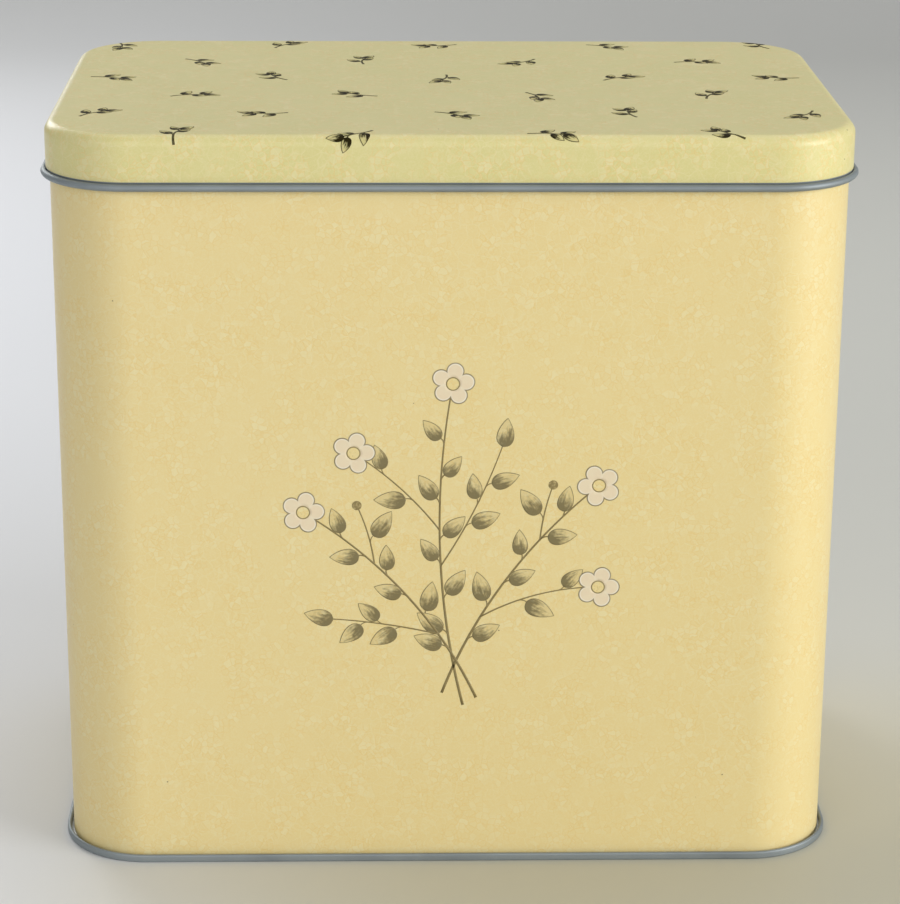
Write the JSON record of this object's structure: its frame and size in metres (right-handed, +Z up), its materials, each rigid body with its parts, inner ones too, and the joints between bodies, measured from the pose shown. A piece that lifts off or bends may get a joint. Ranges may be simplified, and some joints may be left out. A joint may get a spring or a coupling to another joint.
{
  "type": "bread tin",
  "caption": "Tall rounded-corner tinplate bread box with a recessed seamed bottom and a slip-over lift-off lid that rests on its curled mouth.",
  "frame": {"origin": "centre of the footprint, on the surface that the tin stands on", "axes": "+X to the right along the long side, +Y to the back, where the wall's lock seam is, +Z up; the decorated front faces -Y"},
  "size_m": [0.3, 0.198, 0.2832],
  "materials": {
    "printed_wall": "satin varnished print on tinplate, pale warm yellow with a fine crackle; bare tinplate inside",
    "printed_lid": "satin varnished print on tinplate, pale yellow with a fine crackle; bare tinplate inside and on the curled edge",
    "bare_tinplate": "bare bright tinplate, slightly dulled",
    "steel_wire": "drawn mild steel wire"
  },
  "bodies": {
    "container": {"body_wall": "printed_wall", "body_rim_wire": "steel_wire", "bottom_panel": "bare_tinplate"},
    "cover": {"lid": "printed_lid", "lid_rim_wire": "steel_wire"}
  },
  "joints": [
    {"name": "lid_lift", "type": "slide", "parent": "container", "child": "cover", "axis": [0, 0, 1], "range_m": [0, 0.15]}
  ]
}
